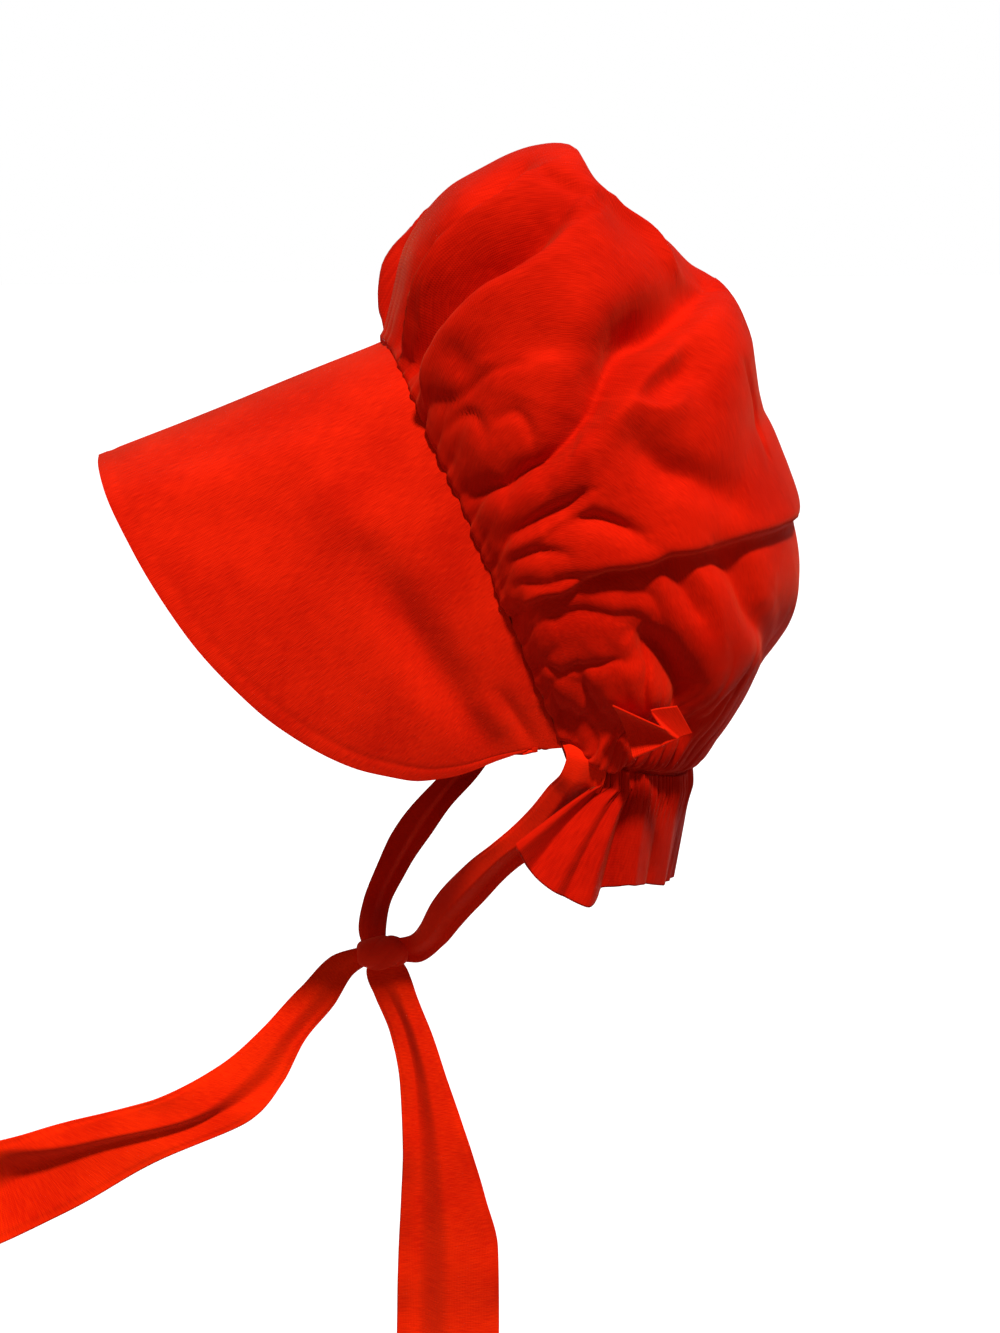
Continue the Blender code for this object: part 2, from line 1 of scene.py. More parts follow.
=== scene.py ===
import bpy
import numpy as np
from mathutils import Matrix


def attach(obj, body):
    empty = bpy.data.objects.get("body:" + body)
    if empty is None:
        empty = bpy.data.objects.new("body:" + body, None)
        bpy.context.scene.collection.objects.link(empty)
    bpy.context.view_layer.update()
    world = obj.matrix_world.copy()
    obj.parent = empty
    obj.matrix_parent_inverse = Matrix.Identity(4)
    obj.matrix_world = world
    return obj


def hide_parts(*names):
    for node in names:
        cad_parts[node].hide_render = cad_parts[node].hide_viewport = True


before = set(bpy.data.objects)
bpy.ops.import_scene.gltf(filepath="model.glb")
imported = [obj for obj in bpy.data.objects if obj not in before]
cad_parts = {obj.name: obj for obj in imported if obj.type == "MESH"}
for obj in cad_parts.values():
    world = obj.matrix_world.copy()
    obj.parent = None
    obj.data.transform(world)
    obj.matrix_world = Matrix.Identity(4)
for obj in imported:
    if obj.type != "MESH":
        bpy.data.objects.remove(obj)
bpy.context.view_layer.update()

# The crown. One wide piece of red cotton broadcloth, gathered into the brim seam
# in front and into the neck band below, so that it stands up in puffs and
# breaks into soft diagonal folds over the empty space inside.

MM = 0.001
CORNER = (75.0, 67.0, -164.0)
CORNER_RADIUS = 3.5
SEAM_ANGLE = 112.2
NECK_ANGLE = -17.0
ARCH_SQUARENESS = 0.80
PEAK_BREADTH = 0.24

CROWN_ARCHES = (
    # plane angle, reach from corner line, half width
    (112.2, 177.0, 80.0),
    (109.0, 193.0, 89.0),
    (105.0, 215.0, 97.0),
    (98.0, 235.0, 104.0),
    (90.0, 242.0, 108.0),
    (86.0, 239.0, 109.0),
    (82.5, 231.5, 110.0),
    (78.5, 222.5, 110.0),
    (74.0, 214.5, 111.0),
    (67.0, 206.0, 111.0),
    (57.0, 174.0, 110.0),
    (43.0, 151.5, 108.0),
    (30.0, 132.0, 105.0),
    (14.0, 99.5, 100.0),
    (-2.0, 80.5, 91.0),
    (-17.0, 69.5, 80.0),
)

CROWN_FOLDS = (
    # height, breadth on its left and right, sharpness, then around and down along it
    (12.0, 4.0, 20.0, 1.0, 0.312, 0.016, 0.290, 0.036,
     0.301, 0.079, 0.303, 0.118, 0.290, 0.149, 0.251, 0.179),
    (-20.0, 12.0, 7.0, 1.7, 0.205, 0.013, 0.246, 0.038,
     0.268, 0.075, 0.271, 0.114, 0.257, 0.143, 0.226, 0.170),
    (11.0, 4.0, 9.0, 1.0, 0.160, 0.006, 0.175, 0.029,
     0.188, 0.059, 0.182, 0.084, 0.178, 0.123, 0.130, 0.162),
    (5.0, 3.0, 4.0, 1.1, 0.190, 0.016, 0.205, 0.039, 0.206, 0.062, 0.192, 0.085),
    (-12.0, 7.0, 6.0, 1.5, 0.125, 0.013, 0.128, 0.044, 0.150, 0.082, 0.138, 0.112, 0.095, 0.150),
    (5.0, 8.0, 4.0, 1.4, 0.243, 0.180, 0.139, 0.216, 0.127, 0.252, 0.164, 0.283, 0.103, 0.325),
    (-3.0, 3.0, 4.0, 1.4, 0.117, 0.158, 0.150, 0.168, 0.169, 0.180, 0.192, 0.197),
    (-10.0, 5.0, 4.0, 1.2, 0.506, 0.019, 0.569, 0.072, 0.574, 0.120, 0.547, 0.169, 0.494, 0.206),
    (-22.0, 12.0, 6.5, 1.9, 0.522, 0.190, 0.430, 0.221,
     0.353, 0.250, 0.295, 0.276, 0.222, 0.301, 0.089, 0.331),
    (6.0, 3.0, 10.0, 1.3, 0.596, 0.149, 0.512, 0.213, 0.415, 0.254, 0.353, 0.279, 0.263, 0.303),
    (-8.0, 10.0, 8.0, 1.8, 0.436, 0.256, 0.388, 0.283, 0.342, 0.305, 0.271, 0.311),
    (6.0, 2.0, 10.0, 1.3, 0.461, 0.241, 0.438, 0.278, 0.413, 0.295, 0.363, 0.314),
    (-7.0, 8.0, 7.0, 1.8, 0.510, 0.259, 0.515, 0.306, 0.492, 0.357, 0.418, 0.416),
    (-2.5, 2.5, 4.0, 1.3, 0.318, 0.023, 0.396, 0.051, 0.415, 0.088, 0.437, 0.131),
    (-2.0, 6.0, 6.0, 2.0, 0.308, 0.049, 0.357, 0.062, 0.389, 0.066, 0.400, 0.057),
    (1.5, 5.0, 6.0, 1.5, 0.403, 0.059, 0.428, 0.102, 0.439, 0.145, 0.431, 0.199),
    (-2.5, 12.0, 6.0, 1.8, 0.405, 0.105, 0.419, 0.142, 0.430, 0.172, 0.398, 0.204),
    (-2.1, 2.0, 3.0, 1.4, 0.384, 0.023, 0.409, 0.042, 0.444, 0.058, 0.478, 0.062),
    (-2.1, 3.0, 3.0, 1.4, 0.477, 0.079, 0.488, 0.103, 0.518, 0.115, 0.551, 0.117),
    (-7.0, 3.0, 5.0, 1.2, 0.630, 0.041, 0.648, 0.100, 0.640, 0.160, 0.618, 0.194),
    (2.8, 4.0, 4.0, 1.5, 0.649, 0.044, 0.667, 0.104, 0.662, 0.166, 0.598, 0.221),
    (-5.0, 3.0, 4.5, 1.5, 0.673, 0.128, 0.657, 0.190, 0.640, 0.245, 0.630, 0.295),
    (-2.8, 2.0, 3.0, 1.4, 0.665, 0.042, 0.682, 0.073, 0.696, 0.115, 0.708, 0.156),
    (-2.8, 2.5, 3.0, 1.4, 0.704, 0.040, 0.745, 0.117, 0.740, 0.205, 0.677, 0.312),
    (4.0, 16.0, 1.5, 1.2, 0.743, 0.050, 0.763, 0.145,
     0.709, 0.242, 0.660, 0.326, 0.562, 0.399, 0.408, 0.474, 0.202, 0.543, 0.02, 0.555),
    (-4.5, 2.0, 16.0, 1.2, 0.750, 0.046, 0.771, 0.143,
     0.718, 0.244, 0.668, 0.330, 0.565, 0.404, 0.414, 0.480, 0.210, 0.548, 0.02, 0.560),
    (-2.4, 2.5, 5.0, 1.3, 0.791, 0.074, 0.798, 0.143, 0.775, 0.265, 0.728, 0.396),
    (-14.0, 8.0, 7.0, 1.6, 0.766, 0.367, 0.726, 0.447, 0.703, 0.541, 0.662, 0.657, 0.552, 0.813),
    (1.5, 10.0, 6.0, 1.6, 0.681, 0.432, 0.634, 0.569, 0.566, 0.680, 0.467, 0.803),
    (-4.0, 5.0, 4.0, 1.6, 0.636, 0.361, 0.608, 0.418, 0.598, 0.472, 0.592, 0.517),
    (-7.0, 8.0, 6.0, 1.8, 0.493, 0.447, 0.460, 0.511, 0.438, 0.582, 0.299, 0.695),
    (1.5, 4.0, 4.0, 1.6, 0.567, 0.407, 0.546, 0.468, 0.547, 0.520, 0.550, 0.591),
    (-2.4, 4.0, 6.0, 1.5, 0.716, 0.271, 0.708, 0.332, 0.693, 0.387, 0.681, 0.432),
    (-2.8, 1.5, 2.5, 1.2, 0.758, 0.394, 0.760, 0.456, 0.787, 0.526, 0.798, 0.614),
    (-2.8, 2.0, 4.0, 1.4, 0.878, 0.219, 0.901, 0.261, 0.917, 0.374, 0.904, 0.519),
    (-2.8, 2.0, 3.0, 1.3, 0.858, 0.055, 0.886, 0.135, 0.854, 0.286, 0.814, 0.384),
    (-1.4, 4.0, 4.0, 1.8, 0.808, 0.268, 0.818, 0.333, 0.792, 0.406, 0.770, 0.424),
    (-2.1, 2.5, 3.0, 1.4, 0.403, 0.701, 0.446, 0.730, 0.470, 0.765, 0.515, 0.803),
    (-2.1, 2.0, 3.0, 1.4, 0.238, 0.368, 0.224, 0.388, 0.212, 0.411, 0.237, 0.452),
    (-2.8, 3.0, 4.0, 1.4, 0.898, 0.061, 0.939, 0.075, 0.974, 0.164, 0.976, 0.427),
    (-3.5, 8.0, 12.0, 1.5, 0.32, 0.61, 0.24, 0.69, 0.17, 0.79, 0.13, 0.90),
    (2.2, 9.0, 6.0, 1.4, 0.22, 0.62, 0.15, 0.71, 0.09, 0.81, 0.06, 0.91),
    (-2.2, 6.0, 9.0, 1.4, 0.10, 0.60, 0.05, 0.70, 0.01, 0.80, 0.0, 0.90),
    (-1.2, 9.0, 5.0, 1.4, 0.30, 0.40, 0.16, 0.44, 0.02, 0.45),
    (-1.2, 11.0, 6.0, 1.5, 0.20, 0.27, 0.08, 0.31, -0.05, 0.32),
    (0.8, 5.0, 8.0, 1.3, 0.32, 0.34, 0.17, 0.38, 0.03, 0.385),
    (-9.0, 14.0, 13.0, 2.0, 0.92, 0.72, 0.85, 0.76, 0.74, 0.78, 0.61, 0.77),
)

SEAM_GATHERS = (
    # puffs round the seam, height, reach from the seam
    (19, 0.9, 30.0),
    (38, 1.9, 14.0),
    (76, 0.7, 7.0),
)
NECK_GATHERS = (
    # puffs along the neck, height, reach from the neck
    (19, 1.6, 40.0),
    (38, 2.2, 18.0),
    (76, 1.2, 8.0),
)
CROWN_PEAK = (
    # plane angle, further reach at the top of the arch
    (112.2, 0.0),
    (98.0, 1.5),
    (90.0, 7.0),
    (87.0, 9.5),
    (85.0, 1.0),
    (82.5, -4.5),
    (78.5, -2.0),
    (74.0, 0.0),
    (-17.0, 0.0),
)


def through(knots, values, at):
    """Curve through table values: cubic pieces whose slope at a value is the
    harmonic mean of the slopes on its two sides, so it never overshoots."""
    knots = np.asarray(knots, float)
    values = np.asarray(values, float)
    step = np.diff(knots)
    slope = np.diff(values) / step
    same = slope[1:] * slope[:-1] > 0
    total = np.where(same, slope[1:] + slope[:-1], 1.0)
    inner = np.where(same, 2 * slope[1:] * slope[:-1] / total, 0.0)
    tangent = np.concatenate([slope[:1], inner, slope[-1:]])
    i = np.clip(np.searchsorted(knots, at, side="right") - 1, 0, len(step) - 1)
    t = (at - knots[i]) / step[i]
    ends = values[i] * (1 + 2 * t) * (1 - t) ** 2 + values[i + 1] * t * t * (3 - 2 * t)
    bend = tangent[i] * t * (1 - t) ** 2 + tangent[i + 1] * t * t * (t - 1)
    return ends + step[i] * bend


def arch_points(turn, angle):
    """Arches between the two seam corners: in each plane the cloth leaves one
    corner, climbs as a squared-off sine to its reach and comes down again. The
    peak adds a bell in the middle of the arch."""
    rows = np.array(CROWN_ARCHES)[::-1]
    reach = through(rows[:, 0], rows[:, 1], angle)
    half = through(rows[:, 0], rows[:, 2], angle)
    climb = np.pi / 2 * (1 - np.abs(turn)) ** 1.25
    rise = np.sin(climb) ** ARCH_SQUARENESS
    swell = 1 - np.exp(-rise / 0.2)
    out = np.cos(climb) ** ARCH_SQUARENESS * (CORNER[0] + (half - CORNER[0]) * swell)
    peak = np.array(CROWN_PEAK)[::-1]
    reach = reach + through(peak[:, 0], peak[:, 1], angle) * np.exp(-(turn / PEAK_BREADTH) ** 2)
    radius = CORNER_RADIUS + (reach - CORNER_RADIUS) * rise
    slant = np.radians(angle)
    y = CORNER[1] + radius * np.cos(slant)
    z = CORNER[2] + radius * np.sin(slant)
    return np.stack(np.broadcast_arrays(np.sign(turn) * out, y, z), -1)


def running_length(points):
    """Length along a line of points: the sum of its steps, from zero."""
    steps = np.linalg.norm(np.diff(points, axis=0), axis=1)
    return np.concatenate([[0.0], np.cumsum(steps)])


SEAM_STEPS = 2001
seam_turns = np.linspace(-1, 1, SEAM_STEPS)
seam_lengths = running_length(arch_points(seam_turns, np.full(SEAM_STEPS, SEAM_ANGLE)))
SEAM_LENGTH = seam_lengths[-1]


def crown_base(around, down):
    """Crown without folds: around -1..1 is the share of the seam's length,
    down 0..1 turns the arch from the brim seam over to the neck."""
    turn = np.interp(around, seam_lengths / SEAM_LENGTH * 2 - 1, seam_turns)
    return arch_points(turn, SEAM_ANGLE + (NECK_ANGLE - SEAM_ANGLE) * down)


def outward(grid, inside):
    """Unit normals from the cross product of the grid's two directions, all
    turned away from a point inside."""
    cross = np.cross(np.gradient(grid, axis=0), np.gradient(grid, axis=1))
    cross /= np.maximum(np.linalg.norm(cross, axis=-1, keepdims=True), 1e-12)
    return cross * np.sign(np.sum(cross * (grid - np.array(inside))))


def fold_lift(points, line, up, height, left, right, sharpness):
    """Lift along the normal near a fold line: e to the minus (distance over
    breadth) to the power of its sharpness, where the breadth differs between
    the two banks of the line. Towards both ends it sinks, by part of a sine to
    a power under one, to a bit over a third of its height."""
    lift = np.zeros(points.shape[:-1])
    reach = 3.2 * max(left, right)
    inside = np.all((points > line.min(0) - reach) & (points < line.max(0) + reach), axis=-1)
    points, up = points[inside], up[inside]
    best = np.full(len(points), 1e9)
    bank = np.zeros(len(points))
    along = np.zeros(len(points))
    spans = np.diff(line, axis=0)
    for k, span in enumerate(spans):
        away = points - line[k]
        t = np.clip(away @ span / (span @ span), 0, 1)
        rest = away - t[:, None] * span
        far = np.linalg.norm(rest, axis=-1)
        near = far < best
        best = np.where(near, far, best)
        bank = np.where(near, np.einsum("ij,ij->i", np.cross(span, rest), up), bank)
        along = np.where(near, (k + t) / len(spans), along)
    fade = np.sin(np.pi * np.clip(along * 0.84 + 0.08, 0, 1)) ** 0.7
    across = best / np.where(bank > 0, left, right)
    lift[inside] = height * fade * np.exp(-(across ** 2 + 0.004) ** (sharpness / 2))
    return lift


def puffs(phase):
    """Row of puffs: the size of a sine to a power under one, which is round on
    top and narrow in the valleys, less its mean."""
    return np.abs(np.sin(np.pi * phase)) ** 0.75 - 0.68


def wander(value, seed):
    """Uneven slow wave: three sines at unlike rates, the quicker the lower."""
    waves = np.sin(value * 5.1 + seed) + 0.7 * np.sin(value * 11.3 + 2.1 * seed)
    return waves + 0.5 * np.sin(value * 23.7 + 4.3 * seed)


def lattice_noise(points, size, seed):
    """Smooth noise: random values on a cubic lattice of one size, blended
    between the eight corners around each point with smooth steps."""
    table = np.random.default_rng(seed).uniform(-1, 1, (32, 32, 32))
    place = points / size + 200.0
    low = np.floor(place).astype(int)
    t = place - low
    t = t * t * (3 - 2 * t)
    total = 0.0
    for corner in np.ndindex(2, 2, 2):
        weight = np.prod(np.where(corner, t, 1 - t), axis=-1)
        i, j, k = np.moveaxis((low + corner) % 32, -1, 0)
        total = total + weight * table[i, j, k]
    return total


BRIM_TILT = np.radians(21.0)
AHEAD = np.array([0.0, -np.cos(BRIM_TILT), -np.sin(BRIM_TILT)])
CROWN_INSIDE = (0.0, 80.0, -70.0)
FOLD_STEPS = 15
OTHER_SIDE_AROUND = 0.018
OTHER_SIDE_DOWN = 0.012
SEAM_HOLD = 2.5
NECK_HOLD = 3.5
CORNER_HOLD = 10.0
NECK_SAG = np.array([0.0, 0.0, -9.0])


def crown_cloth(around, down):
    """Crown with folds: the base, lifted along its normals by every fold, by
    gathers that die out away from seam and neck, and by a slight crumple. A
    fold lies on the left and once more, shifted by a sine, on the right."""
    around, down = np.broadcast_arrays(around[:, None], down[None, :])
    base = crown_base(around, down)
    up = outward(base, CROWN_INSIDE)
    lift = np.zeros(base.shape[:-1])
    share = np.linspace(0, 1, FOLD_STEPS)
    for index, row in enumerate(CROWN_FOLDS):
        knots = np.linspace(0, 1, len(row[4::2]))
        ways = through(knots, row[4::2], share)
        falls = through(knots, row[5::2], share)
        for hand in (1.0, -1.0):
            shift = 0.0 if hand > 0 else 1.0
            line = crown_base(
                hand * (ways + shift * OTHER_SIDE_AROUND * np.sin(1.7 * index)),
                np.clip(falls + shift * OTHER_SIDE_DOWN * np.cos(2.3 * index), 0, 1),
            )
            left, right = (row[1], row[2]) if hand > 0 else (row[2], row[1])
            lift += fold_lift(base, line, up, row[0], left, right, row[3])
    seam_gap = np.linalg.norm(base - base[:, :1], axis=-1)
    neck_gap = np.linalg.norm(base - base[:, -1:], axis=-1)
    room = np.linalg.norm(base - base[:1], axis=-1)
    room = np.minimum(room, np.linalg.norm(base - base[-1:], axis=-1))
    for count, height, reach in SEAM_GATHERS:
        phase = around * count / 2 + 0.10 * wander(around * 2 + down * 1.5, count)
        size = height * (1 + 0.25 * wander(around * 3, count + 2.0))
        lift += size * puffs(phase) * np.exp(-seam_gap / reach)
    for count, height, reach in NECK_GATHERS:
        phase = around * count / 2 + 0.12 * wander(around * 2 - down, count + 1.0)
        size = height * (1 + 0.25 * wander(around * 3, count + 5.0))
        size = size * (1 + 1.1 * np.exp(-(around / 0.62) ** 4))
        lift += size * puffs(phase) * np.exp(-neck_gap / reach)
    lift += 0.8 * lattice_noise(base, 34.0, 3) + 0.15 * lattice_noise(base, 12.0, 4)
    hold = (1 - np.exp(-seam_gap / SEAM_HOLD)) * (1 - np.exp(-neck_gap / NECK_HOLD))
    hold = hold * (1 - np.exp(-room / CORNER_HOLD))
    scallop = 0.7 + 0.3 * puffs(around * 38 + 0.35 * wander(around * 3, 3.0))
    scallop = scallop + 0.15 * wander(around * 9, 1.0)
    scallop = scallop * np.exp(-((seam_gap - 3.0) / 2.6) ** 2)
    tuck = 1.4 * np.exp(-seam_gap / 1.2)
    ahead = scallop * (1 - np.exp(-room / CORNER_HOLD)) + 0.8 * np.exp(-seam_gap / 1.5)
    hang = np.exp(-((neck_gap - 7.0) / 6.0) ** 2) * (1 - np.exp(-room / 8.0))
    hang = hang * (0.12 + 0.88 * np.exp(-((np.abs(around) - 0.87) / 0.13) ** 4))
    cloth = base + up * (lift * hold + 0.8 * scallop - tuck + 1.5 * hang)[..., None]
    return cloth + ahead[..., None] * AHEAD + hang[..., None] * NECK_SAG


def cloth_piece(name, grid, thickness, flat):
    """Mesh of four-sided faces on a grid of points given in millimetres. Its UV
    map is the cloth laid flat, in metres, so that the weave follows the cloth."""
    long, wide = grid.shape[:2]
    mesh = bpy.data.meshes.new(name)
    first = np.arange(long - 1)[:, None] * wide + np.arange(wide - 1)[None, :]
    quads = np.stack([first, first + wide, first + wide + 1, first + 1], -1).reshape(-1, 4)
    mesh.vertices.add(long * wide)
    mesh.vertices.foreach_set("co", (grid * MM).astype(np.float32).ravel())
    mesh.loops.add(quads.size)
    mesh.loops.foreach_set("vertex_index", quads.astype(np.int32).ravel())
    mesh.polygons.add(len(quads))
    mesh.polygons.foreach_set("loop_start", np.arange(0, quads.size, 4, dtype=np.int32))
    mesh.update(calc_edges=True)
    mesh.polygons.foreach_set("use_smooth", np.ones(len(quads), bool))
    u, v = np.meshgrid(np.linspace(0, flat[0], long), np.linspace(0, flat[1], wide), indexing="ij")
    laid = np.stack([u, v], -1).reshape(-1, 2)
    layer = mesh.uv_layers.new(name="laid_flat")
    layer.data.foreach_set("uv", laid[quads.ravel()].astype(np.float32).ravel())
    mesh.validate()
    piece = bpy.data.objects.new(name, mesh)
    bpy.context.scene.collection.objects.link(piece)
    if thickness:
        wall = piece.modifiers.new("cloth thickness", "SOLIDIFY")
        wall.thickness = thickness * MM
        wall.offset = 0.0
    return piece


def linear(code):
    """Colour from an sRGB hex code, each channel raised by the sRGB curve."""
    parts = np.array([int(code[i:i + 2], 16) for i in (1, 3, 5)]) / 255
    low, high = parts / 12.92, ((parts + 0.055) / 1.055) ** 2.4
    return (*np.where(parts <= 0.04045, low, high).tolist(), 1.0)


def add_node(tree, kind, settings=(), values=(), links=()):
    """Add one node with its settings, socket values and links into it."""
    node = tree.nodes.new(kind)
    for key, value in dict(settings).items():
        setattr(node, key, value)
    for key, value in dict(values).items():
        node.inputs[key].default_value = value
    for key, source in dict(links).items():
        tree.links.new(source, node.inputs[key])
    return node


THREAD_PITCH = 0.0007


def red_broadcloth(name, bright, deep, crumple, fuzz=0.2, slubs=0.45):
    """Cotton broadcloth, piece-dyed red and plain-woven: a dry surface with a
    faint fuzz that lights up at grazing angles and a fine slubby rib."""
    material = bpy.data.materials.new(name)
    material.use_nodes = True
    tree = material.node_tree
    shader = tree.nodes["Principled BSDF"]
    shader.inputs["Roughness"].default_value = 0.78
    shader.inputs["IOR"].default_value = 1.47
    shader.inputs["Specular IOR Level"].default_value = 0.22
    shader.inputs["Specular Tint"].default_value = linear("#FF7A30")
    shader.inputs["Sheen Weight"].default_value = fuzz
    shader.inputs["Sheen Roughness"].default_value = 0.45
    shader.inputs["Sheen Tint"].default_value = linear("#FF7A48")
    laid = add_node(tree, "ShaderNodeTexCoord").outputs["UV"]
    solid = add_node(tree, "ShaderNodeTexCoord").outputs["Object"]
    # Threads about 0.35 mm apart are drawn 0.7 mm apart, so that they show. A
    # wave texture repeats every 2 pi / 20 of its scaled coordinate.
    thread = 2 * np.pi / (20 * THREAD_PITCH)
    warp = add_node(tree, "ShaderNodeTexWave", {"wave_type": "BANDS", "bands_direction": "X"},
                    {"Scale": thread, "Distortion": 1.2, "Detail": 1.0}, {"Vector": laid})
    weft = add_node(tree, "ShaderNodeTexWave", {"wave_type": "BANDS", "bands_direction": "Y"},
                    {"Scale": thread, "Distortion": 1.2, "Detail": 1.0}, {"Vector": laid})
    weave = add_node(tree, "ShaderNodeMath", {"operation": "MULTIPLY"}, {},
                     {0: warp.outputs["Fac"], 1: weft.outputs["Fac"]})
    # Slubs: thick places in a thread, about 6 mm long and 0.5 mm high.
    stretch = add_node(tree, "ShaderNodeMapping", {}, {"Scale": (1900.0, 160.0, 1.0)},
                       {"Vector": laid})
    slub = add_node(tree, "ShaderNodeTexNoise", {}, {"Scale": 1.0, "Detail": 3.0},
                    {"Vector": stretch.outputs["Vector"]})
    # Uneven dye, in clouds about 40 mm across.
    cloud = add_node(tree, "ShaderNodeTexNoise", {}, {"Scale": 26.0, "Detail": 3.0},
                     {"Vector": solid})
    both = add_node(tree, "ShaderNodeMix", {"data_type": "FLOAT"}, {0: 0.5},
                    {2: slub.outputs["Fac"], 3: cloud.outputs["Fac"]})
    ramp = add_node(tree, "ShaderNodeValToRGB", {}, {}, {0: both.outputs[0]})
    ramp.color_ramp.elements[0].position = 0.38
    ramp.color_ramp.elements[0].color = linear(deep)
    ramp.color_ramp.elements[1].position = 0.60
    ramp.color_ramp.elements[1].color = linear(bright)
    tree.links.new(ramp.outputs["Color"], shader.inputs["Base Color"])
    # Small creases left from washing, 5 to 12 mm across.
    crease = add_node(tree, "ShaderNodeTexNoise", {}, {"Scale": 95.0, "Detail": 2.0},
                      {"Vector": solid})
    first = add_node(tree, "ShaderNodeBump", {}, {"Strength": crumple, "Distance": 0.0016},
                     {"Height": crease.outputs["Fac"]})
    second = add_node(tree, "ShaderNodeBump", {}, {"Strength": slubs, "Distance": 0.0003},
                      {"Height": slub.outputs["Fac"], "Normal": first.outputs["Normal"]})
    third = add_node(tree, "ShaderNodeBump", {}, {"Strength": 0.36, "Distance": 0.00022},
                     {"Height": weave.outputs["Value"], "Normal": second.outputs["Normal"]})
    tree.links.new(third.outputs["Normal"], shader.inputs["Normal"])
    return material


# Same cloth as the brim, but its red is set deeper: painted shade for the darker shading over the
# crown's folds.
crown_red_painted_shade = red_broadcloth("crown broadcloth with painted shade", "#D21503", "#B40A01", 0.30, 0.14, 0.25)
CROWN_ROWS = 461
CROWN_COLUMNS = 201
CLOSER_AT_SEAM = 1.15
crown_grid = crown_cloth(
    np.linspace(1, -1, CROWN_ROWS), np.linspace(0, 1, CROWN_COLUMNS) ** CLOSER_AT_SEAM
)
crown = cloth_piece("crown_cloth", crown_grid, 0.0, (0.62, 0.34))
crown.data.materials.append(crown_red_painted_shade)
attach(crown, "root")
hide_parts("crown")

# The brim. Two layers of the same cloth over a stiff interlining, bagged out
# and turned at the front edge, so it stands out smooth and only dents softly.

BRIM_WALL = 2.2
BRIM_INSIDE = (0.0, -40.0, -100.0)
BRIM_START = -2.6
BRIM_HALF_CELLS = 96
BRIM_COLUMNS = 71
HEM_IN = 6.5
BRIM_OUTLINE = (
    # along the seam from the corner, ahead of the seam
    (2.0, 13.8),
    (2.7, 27.0),
    (3.3, 40.2),
    (8.0, 60.2),
    (16.0, 73.0),
    (25.4, 84.8),
    (43.2, 99.5),
    (64.8, 112.0),
    (104.4, 125.8),
    (143.4, 132.0),
    (173.0, 133.8),
    (SEAM_LENGTH / 2, 132.8),
)
BRIM_DENTS = (
    # height, breadth, then along and ahead at start, middle and end
    (3.4, 16.0, 146.0, 54.0, 128.0, 46.0, 104.0, 38.0),
    (-5.5, 10.0, 104.0, 43.0, 60.0, 38.0, 13.0, 27.0),
    (2.4, 6.0, 34.0, 25.0, 24.0, 23.0, 13.0, 21.0),
    (-2.2, 3.5, 30.0, 15.0, 17.0, 13.0, 3.0, 11.0),
    (3.4, 12.0, 168.0, 128.0, 158.0, 84.0, 156.0, 40.0),
)


def brim_base(along, depth, hand):
    """Flat pattern bent over the seam: a point of the seam by length up from a
    corner, then straight ahead of it by the depth."""
    share = hand * (1 - np.maximum(along, 0) * 2 / SEAM_LENGTH)
    seam = crown_base(share, np.zeros_like(share))
    slant = np.radians(SEAM_ANGLE)
    drop = np.minimum(along, 0)[..., None] * np.array([0.0, np.cos(slant), np.sin(slant)])
    return seam + drop + depth[..., None] * AHEAD


def brim_half(cells, depths, hand):
    """Half a brim: lines from seam to outline, both divided evenly by length,
    lifted by the dents, by a faint ripple where gathers pull on the seam, and
    sunk a little along the stitched hem."""
    rows = np.array(BRIM_OUTLINE)
    span = running_length(rows)
    at = np.linspace(0, span[-1], cells + 1)
    edge_along = through(span, rows[:, 0], at)[:, None]
    edge_depth = through(span, rows[:, 1], at)[:, None]
    seam_along = np.linspace(BRIM_START, SEAM_LENGTH / 2, cells + 1)[:, None]
    along = seam_along * (1 - depths) + edge_along * depths
    depth = edge_depth * depths
    base = brim_base(along, depth, hand)
    up = outward(base, BRIM_INSIDE)
    lift = np.zeros(base.shape[:-1])
    share = np.linspace(0, 1, 11)
    for row in BRIM_DENTS:
        ways = through(np.linspace(0, 1, 3), row[2::2], share)
        depths_on = through(np.linspace(0, 1, 3), row[3::2], share)
        line = brim_base(ways, depths_on, hand)
        lift += fold_lift(base, line, up, row[0], row[1], row[1], 2.0)
    lift += 0.7 * lattice_noise(base, 42.0, 8)
    lift *= 1 - np.exp(-depth / 8.0)
    lift += 0.35 * np.sin(along / 3.1 + wander(along / 60.0, 1.0)) * np.exp(-depth / 5.0)
    lift -= 0.35 * np.exp(-((edge_depth - depth - HEM_IN) / 1.3) ** 2)
    return base + up * lift[..., None]


brim_depths = np.linspace(0, 1, BRIM_COLUMNS)[None, :]
brim_left = brim_half(BRIM_HALF_CELLS, brim_depths, 1.0)
brim_right = brim_half(BRIM_HALF_CELLS, brim_depths, -1.0)[::-1]
brim_middle = (brim_left[-1:] + brim_right[:1]) / 2
brim_grid = np.concatenate([brim_left[:-1], brim_middle, brim_right[1:]])
brim_red = red_broadcloth("brim broadcloth", "#DA1A04", "#BC0D02", 0.20, 0.36, 0.8)
brim = cloth_piece("brim_cloth", brim_grid, BRIM_WALL, (0.52, 0.134))
brim.data.materials.append(brim_red)
turned = brim.modifiers.new("turned edge", "BEVEL")
turned.width = 0.0009
turned.segments = 3
turned.limit_method = "ANGLE"
turned.angle_limit = np.radians(50.0)
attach(brim, "root")
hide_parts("brim")

# The neck band. A narrow strip inside the lower edge of the crown that holds
# the gathers of crown and curtain; both are stitched to it.

BAND_HEIGHT = 9.0
BAND_CLOTH = 1.2
BAND_BELOW = 1.45
BAND_INSIDE = 3.5
BAND_SET_IN = 1.6
NECK_STEPS = 801
NECK_MIDDLE = np.array([0.0, 60.0, 0.0])


